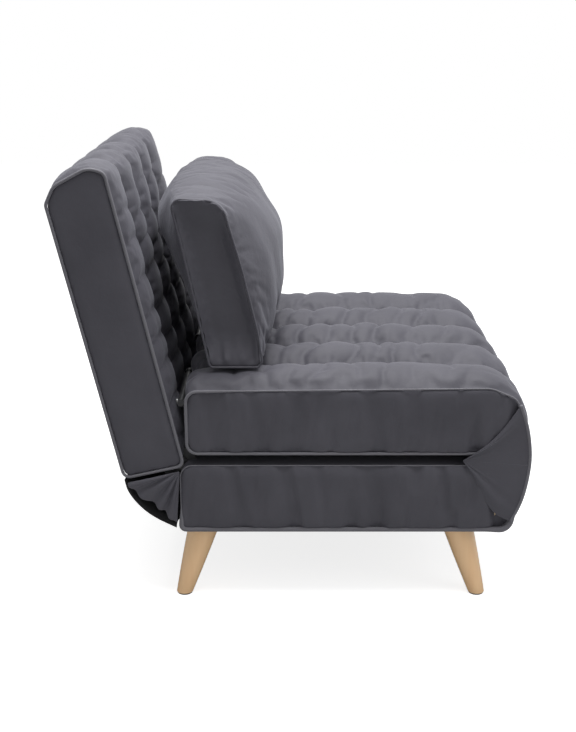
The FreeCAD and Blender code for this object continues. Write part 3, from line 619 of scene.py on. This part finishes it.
# The back is made as the seat is; its bumps fade towards the top
def makeBack():
    stations = np.linspace(-chair["seam"], chair["seam"], 200)
    piece = cushionGrid("backCushion", backOutline(0.002), stations, backForm["sideBulge"] - 0.002)
    closeUp(piece)
    reskin(piece, backForm["voxel"])
    p, n = readPoints(piece), readNormals(piece)
    up, forward, upward = alongBack(p, n)
    face = np.maximum(smooth(0.2, 0.8, forward), smooth(0.3, 0.8, upward))
    across, which = acrossChannel(p[:, 1])
    channel = channelHeight(across)
    wobble = 0.012 * np.sin(p[:, 1] * 27 + which * 2.1) + 0.010 * np.sin(up * 25 + which * 1.7)
    bumps = np.abs(np.sin(math.pi * (up + wobble + which * 0.019) / backForm["foldPitch"])) ** 0.7
    lower = 1 - 0.8 * smooth(0.40, 0.56, up)
    rise = backForm["crown"] * (0.3 + 0.7 * channel)
    rise += backForm["foldDepth"] * (bumps - 0.6) * lower * (0.4 + 0.6 * channel)
    rise -= backForm["stitchDip"] * (1 - channel) * (np.abs(p[:, 1]) < chair["stitched"])
    inside = smooth(0, 0.02, chair["seam"] - np.abs(p[:, 1])) * smooth(0.004, 0.05, up)
    writePoints(piece, p + n * (rise * face * inside)[:, None])
    n = readNormals(piece)
    rearward = smooth(0.5, 0.9, -alongBack(p, n)[1])
    held = np.maximum(sewnAt(p[:, 1]), rearward * 0.9)
    held = np.maximum(held, 1 - smooth(0.02, 0.05, up))
    stuff(piece, held, backForm["pressure"], backForm["spare"], backForm["cap"])
    refine(piece)
    pucker(piece, backForm["pucker"], "back")
    return piece


finishCushion(makeBack(), 0.8, "back", "back_cover", "back_foam")
print("back made")


edging = {"radius": 0.0030, "set": 0.0015, "across": 0.3450}


# Cord round each side seam. stout(x, z) gives how thick it is along its way, as a share of radius
def edgingFor(name, outlineOf, cadNode, body, stout=None):
    for side in (-1, 1):
        ring = outlineOf(edging["set"])
        y = np.full(len(ring), side * edging["across"])
        path = np.stack([ring[:, 0], y, ring[:, 1]], 1)
        share = np.ones(len(ring)) if stout is None else stout(ring[:, 0], ring[:, 1])
        cord = cordAlong(name + sideName[side], path, edging["radius"] * share[:, None, None])
        dress(cord, "piping_fabric")
        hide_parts(cadNode)
        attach(cord, body)


# The seat's cord is thin along the top seam, the base's is a broad band along the bottom
edgingFor("seatEdging", seatOutline, "seat_piping", "seat",
          lambda x, z: 1 - 0.45 * smooth(0.385, 0.405, z) * smooth(-0.17, -0.10, x))
edgingFor("baseEdging", baseOutline, "base_piping", "base",
          lambda x, z: (0.40 + 1.25 * smooth(0.190, 0.150, z)
                        + 0.6 * smooth(0.36, 0.40, x) * smooth(0.26, 0.2, z)))
edgingFor("backEdging", backOutline, "back_piping", "back")
print("edges sewn")


# The fabric's points are X and Z in side view: the fan's inner point, then the front from top to bottom
wrapForm = {
    "apex": (0.3154, 0.2855), "side": 0.3510, "lip": 0.0045, "thick": 0.0012, "channelRise": 0.0035,
    "bow": 0.010, "sag": 0.015, "turnStart": (0.40, 0, 0.262), "turnEnd": (0.40, 0, 0.309),
    "front": [(0.4180, 0.3960), (0.4325, 0.3560), (0.4395, 0.3200), (0.4425, 0.2855), (0.4390, 0.2450),
              (0.4300, 0.2000), (0.4120, 0.1610)],
    "cord": 0.0034, "tuck": 0.018,
}


# Sheet that starts at a point on one side, opens like a fan to the front edge, runs across the front
# and closes to the same point on the other side. Rows go from upper to lower fold, columns across.
# On the sides a rolled lip runs along both folds, with shallow pleats from the point between them.
# It is cut into the front and, on each side, an upper and a lower fan
def makeWrap():
    rows, reach, acrossCount = 120, 60, 150
    t = np.linspace(0, 1, rows)
    edge = openCurve(wrapForm["front"], rows)
    ex, ez = edge[:, 0], edge[:, 1]
    ax, az = wrapForm["apex"]
    s = np.linspace(0, 1, reach)
    byFold = (np.abs(2 * t - 1) ** 3)[:, None]  # 1 on both outer folds, 0 halfway
    bow = wrapForm["bow"] * np.sin(s * math.pi) * np.where(t < 0.5, 1.0, 0.0)[:, None] * byFold
    sag = wrapForm["sag"] * np.sin(s ** 2 * math.pi) * np.where(t < 0.5, 0.0, 1.0)[:, None] * byFold
    fanX = ax + (ex - ax)[:, None] * s[None] + bow * 0.5 - 0.79 * sag
    fanZ = az + (ez - az)[:, None] * s[None] - bow - 0.61 * sag
    lips = np.maximum(np.exp(-((t - 0.07) / 0.05) ** 2), np.exp(-((t - 0.93) / 0.05) ** 2))
    pleat = 0.45 * np.exp(-((t - 0.80) / 0.03) ** 2) + 0.25 * np.exp(-((t - 0.30) / 0.04) ** 2)
    body = (lips[:, None] * np.sin(s * math.pi)[None] ** 0.5
            + pleat[:, None] * (np.sin(s * math.pi) ** 0.5 * (1 - s))[None])
    out = wrapForm["side"] + wrapForm["lip"] * body
    near = np.stack([fanX, -out, fanZ], -1)
    far = np.stack([fanX, out, fanZ], -1)[:, ::-1]
    y = np.linspace(-wrapForm["side"], wrapForm["side"], acrossCount)[1:-1]
    inside = smooth(0, 0.03, chair["half"] - np.abs(y))
    lift = wrapForm["channelRise"] * channelHeight(acrossChannel(y)[0]) * inside
    tuck = wrapForm["tuck"] * smooth(0.16, 0.0, t)[:, None] * inside[None]
    acrossX = ex[:, None] + lift[None] - tuck
    front = np.stack([acrossX, np.broadcast_to(y, acrossX.shape), ez[:, None] + 0 * y[None]], -1)
    fold = rows // 2
    parts = {"frontWrap": np.concatenate([near[:, -1:], front, far[:, :1]], 1),
             "upperFanNear": near[:fold + 1], "lowerFanNear": near[fold:],
             "upperFanFar": far[:fold + 1], "lowerFanFar": far[fold:]}
    return [clothSheet(name, points, wrapForm["thick"]) for name, points in parts.items()]


# The fans part at their middle fold, and the upper ones lift off with the seat
for piece in makeWrap():
    dress(piece, "cover_fabric")
    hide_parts("front_wrap")
    if piece.name == "frontWrap":
        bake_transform(piece)
    else:
        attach(piece, "seat" if piece.name.startswith("upper") else "base")
for side in (-1, 1):
    path = openCurve([(x, side * (chair["half"] + 0.0005), z) for x, z in wrapForm["front"]], 90)
    cord = cordAlong("wrapCord" + sideName[side], path, wrapForm["cord"], closed=False)
    dress(cord, "piping_fabric")
    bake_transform(cord)
print("front fabric made")


# Gathered fabric at the rear corners, in side view: the point by the hinge, the elastic edge and the lining
gussetForm = {
    "apex": (-0.2180, 0.2640), "side": 0.3510, "pleats": 7.5, "depth": 0.0065, "thick": 0.0012,
    "edge": [(-0.3180, 0.2420), (-0.3080, 0.2230), (-0.2880, 0.2090), (-0.2660, 0.1950),
             (-0.2460, 0.1780), (-0.2260, 0.1520)],
    "lining": [(-0.3200, 0.2440), (-0.3140, 0.2170), (-0.2920, 0.1880), (-0.2600, 0.1650),
               (-0.2250, 0.1460)],
    "turnStart": (-0.300, 0, 0.225), "turnEnd": (-0.226, 0, 0.175),
}


# Fan from the hinge to an elastic edge: pleats grow with the distance, and the edge is scalloped by them
def makeGusset(side):
    rows, reach = 110, 44
    edge = openCurve(gussetForm["edge"], rows)
    t, s = np.linspace(0, 1, rows), np.linspace(0.02, 1, reach)
    ripple = np.sin(t * math.pi * gussetForm["pleats"] + 0.8 * np.sin(t * 9))
    apex = np.array(gussetForm["apex"])
    stretch = 1 - 0.05 * (0.5 - 0.5 * ripple)
    flat = apex + (edge - apex)[:, None] * (s[None] * (1 + (stretch - 1)[:, None] * s[None] ** 3))[..., None]
    out = gussetForm["side"] + gussetForm["depth"] * (0.5 + 0.5 * ripple)[:, None] * smooth(0, 0.5, s)[None]
    points = np.stack([flat[..., 0], side * out, flat[..., 1]], -1)
    return clothSheet("rearGusset" + sideName[side], points, gussetForm["thick"])


# Lining across the whole width behind the gussets, slack between the back and the base
def makeLining():
    edge = openCurve(gussetForm["lining"], 60)
    y = np.linspace(-chair["half"], chair["half"], 120)
    x, across, z = edge[:, :1] + 0 * y[None], y[None] + 0 * edge[:, :1], edge[:, 1:] + 0 * y[None]
    slack = 0.002 * unevenness(x, across, z, 0.09, 21)
    return clothSheet("rearLining", np.stack([x + slack, across, z - slack], -1), gussetForm["thick"])


for piece, node, finish in ((makeGusset(-1), "rear_gussets", "cover_fabric"),
                            (makeGusset(1), "rear_gussets", "cover_fabric"),
                            (makeLining(), "rear_lining", "black_cloth")):
    dress(piece, finish)
    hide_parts(node)
    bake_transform(piece)
print("rear corners made")


# Corners in side view as X, Z and radius, of the boxed end and of the full middle
pillowForm = {
    "low": 0.4498, "half": 0.296, "sink": 0.017, "hood": 0.010, "seam": 0.0022,
    "voxel": 0.006, "pressure": 4.0, "spare": 0.02, "cap": 0.012, "squashed": 0.27,
    "end": [(-0.160, 0.4510, 0.012), (-0.060, 0.4510, 0.016), (-0.070, 0.520, 0.08), (-0.098, 0.640, 0.12),
            (-0.134, 0.766, 0.040), (-0.228, 0.770, 0.016), (-0.207, 0.680, 0.30), (-0.184, 0.570, 0.30)],
    "middle": [(-0.150, 0.4500, 0.020), (-0.060, 0.4500, 0.024), (-0.030, 0.540, 0.09), (-0.038, 0.672, 0.10),
               (-0.114, 0.788, 0.060), (-0.236, 0.782, 0.050), (-0.284, 0.712, 0.06), (-0.214, 0.560, 0.10)],
}


# From the boxed end to the full middle, each section is a mix of the two side views. The end panels lie
# sunk behind the seam's ridge, and the top stands over them like a hood
def makePillow():
    stations = np.linspace(-1, 1, 150)
    end, middle = roundedPath(pillowForm["end"], 360), roundedPath(pillowForm["middle"], 360)
    full = (1 - np.abs(stations) ** 2.4)[:, None, None]
    sections = end[None] + (middle - end)[None] * full
    hood = pillowForm["hood"] * smooth(0.725, 0.765, sections[..., 1]) * (np.abs(stations) ** 6)[:, None]
    points = np.stack([sections[..., 0], stations[:, None] * (pillowForm["half"] + hood), sections[..., 1]], -1)
    centre = end.mean(0)
    shrink = np.r_[np.linspace(0, 0.12, 8)[1:], np.linspace(0.12, 1, 22)[1:]]
    caps = []
    for side in (-1, 1):
        flat = centre + (end - centre)[None] * (1 - shrink)[:, None, None]
        deep = pillowForm["sink"] * smooth(0.03, 0.42, shrink)
        caps.append(np.stack([flat[..., 0], side * (pillowForm["half"] - deep)[:, None] + 0 * flat[..., 0],
                              flat[..., 1]], -1))
    piece = gridMesh("loosePillow", np.concatenate([caps[0][::-1], points, caps[1]]), False, True)
    closeUp(piece)
    reskin(piece, pillowForm["voxel"])
    p, n = readPoints(piece), readNormals(piece)
    held = np.where(np.abs(np.abs(p[:, 1]) - pillowForm["half"]) < 0.006, 0.9, 0.0)
    held = np.maximum(held, smooth(0.6, 0.95, np.abs(n[:, 1])) * 0.7)
    held = np.maximum(held, smooth(0.4, 0.9, -n[:, 2]))
    held = np.maximum(held, smooth(0.5, 0.9, -n[:, 0]) * 0.8)
    stuff(piece, held, pillowForm["pressure"], pillowForm["spare"], pillowForm["cap"])
    refine(piece)
    p, n = readPoints(piece), readNormals(piece)
    soft = unevenness(p[:, 0], p[:, 1], p[:, 2], 0.13, 31) * 0.0022
    gather = np.exp(-((np.abs(p[:, 1]) - 0.285) / 0.03) ** 2) * smooth(0.52, 0.46, p[:, 2])
    soft += gather * 0.003 * unevenness(p[:, 0] * 2.5, p[:, 1], p[:, 2] * 0.6, 0.05, 32)
    writePoints(piece, p + n * (soft * smooth(0.455, 0.47, p[:, 2]))[:, None])
    return piece


# The seams of the pillow: a fine cord round each end panel
def pillowSeam(side):
    ring = roundedPath(pillowForm["end"], 300)
    path = np.stack([ring[:, 0], np.full(300, side * (pillowForm["half"] + 0.0008)), ring[:, 1]], 1)
    path[:, 2] = np.maximum(path[:, 2], pillowForm["low"] + 0.003)
    return cordAlong("pillowSeam" + sideName[side], path, pillowForm["seam"])


# The pillow and its seams each get their own mesh and ride with the pillow's body
loosePillow = makePillow()
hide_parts("pillow_cover", "pillow_filling")
for piece in (loosePillow, pillowSeam(-1), pillowSeam(1)):
    dress(piece, "cover_fabric")
    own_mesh(piece)
    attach(piece, "pillow")
print("pillow made")


room = {
    "overhead": 124.0, "front": 12.0, "ambient": 0.34,  # lamps in watts, world as a strength
    "floor": 0.60, "floorGlow": 0.80,                   # the glow is for the camera alone
}
view = {"place": (-0.0134, -2.354, 1.104), "down": 17.5, "focal": 1147, "pictureWidth": 576}


# A round soft lamp at a place, turned to what it lights
def softLamp(name, place, aim, size, watts):
    lamp = bpy.data.lights.new(name, "AREA")
    lamp.shape = "DISK"
    lamp.size = size
    lamp.energy = watts
    holder = bpy.data.objects.new(name, lamp)
    bpy.context.scene.collection.objects.link(holder)
    holder.location = place
    way = np.array(aim, float) - np.array(place, float)
    way /= np.linalg.norm(way)
    holder.rotation_euler = (math.acos(-way[2]), 0, math.atan2(way[1], way[0]) + math.pi / 2 + math.pi)


softLamp("overheadLamp", (0.1, 0.1, 3.0), (0.05, 0, 0.4), 2.6, room["overhead"])
softLamp("frontLamp", (2.6, -1.2, 2.0), (0.05, 0, 0.4), 1.8, room["front"])

# White where the camera, a reflection or glass sees the world, and plain soft light elsewhere
world = bpy.data.worlds.new("studio")
bpy.context.scene.world = world
world.use_nodes = True
sky = world.node_tree
surround = sky.nodes["Background"]
surround.inputs["Strength"].default_value = room["ambient"]
seen = add(sky, "ShaderNodeBackground")
rays = add(sky, "ShaderNodeLightPath")
either = add(sky, "ShaderNodeMath", operation="MAXIMUM")
anyOf = add(sky, "ShaderNodeMath", operation="MAXIMUM")
sky.links.new(rays.outputs["Is Camera Ray"], either.inputs[0])
sky.links.new(rays.outputs["Is Glossy Ray"], either.inputs[1])
sky.links.new(either.outputs[0], anyOf.inputs[0])
sky.links.new(rays.outputs["Is Transmission Ray"], anyOf.inputs[1])
chooser = add(sky, "ShaderNodeMixShader")
sky.links.new(anyOf.outputs[0], chooser.inputs[0])
sky.links.new(surround.outputs[0], chooser.inputs[1])
sky.links.new(seen.outputs[0], chooser.inputs[2])
sky.links.new(chooser.outputs[0], sky.nodes["World Output"].inputs["Surface"])
surround.inputs["Color"].default_value = (1, 1, 1, 1)
seen.inputs["Color"].default_value = (1, 1, 1, 1)

# Pale floor that keeps the shadow, and glows to near white for the camera
floorGrid = np.stack(np.meshgrid(np.linspace(-6, 6, 3), np.linspace(-6, 6, 3), [0.0], indexing="ij"), -1)
floor = gridMesh("floor", floorGrid.reshape(3, 3, 3))
floorPaint, tree, shader = newMaterial("floorPaint")
shader.inputs["Base Color"].default_value = (room["floor"], room["floor"], room["floor"], 1)
shader.inputs["Roughness"].default_value = 0.9
shader.inputs["Specular IOR Level"].default_value = 0.0
glow = add(tree, "ShaderNodeEmission")
seenFloor = add(tree, "ShaderNodeLightPath")
both = add(tree, "ShaderNodeAddShader")
choose = add(tree, "ShaderNodeMixShader")
glow.inputs["Strength"].default_value = room["floorGlow"]
tree.links.new(shader.outputs[0], both.inputs[0])
tree.links.new(glow.outputs[0], both.inputs[1])
tree.links.new(seenFloor.outputs["Is Camera Ray"], choose.inputs[0])
tree.links.new(shader.outputs[0], choose.inputs[1])
tree.links.new(both.outputs[0], choose.inputs[2])
tree.links.new(choose.outputs[0], tree.nodes["Material Output"].inputs["Surface"])
floor.data.materials.append(floorPaint)

cameraData = bpy.data.cameras.new("viewer")
cameraData.sensor_fit = "HORIZONTAL"
cameraData.sensor_width = 36
cameraData.lens = 36 * view["focal"] / view["pictureWidth"]  # focal length in the picture's pixels
viewer = bpy.data.objects.new("viewer", cameraData)
bpy.context.scene.collection.objects.link(viewer)
viewer.location = view["place"]
viewer.rotation_euler = (math.radians(90 - view["down"]), 0, 0)
bpy.context.scene.camera = viewer
bpy.context.scene.view_settings.view_transform = "Standard"

print("scene ready")
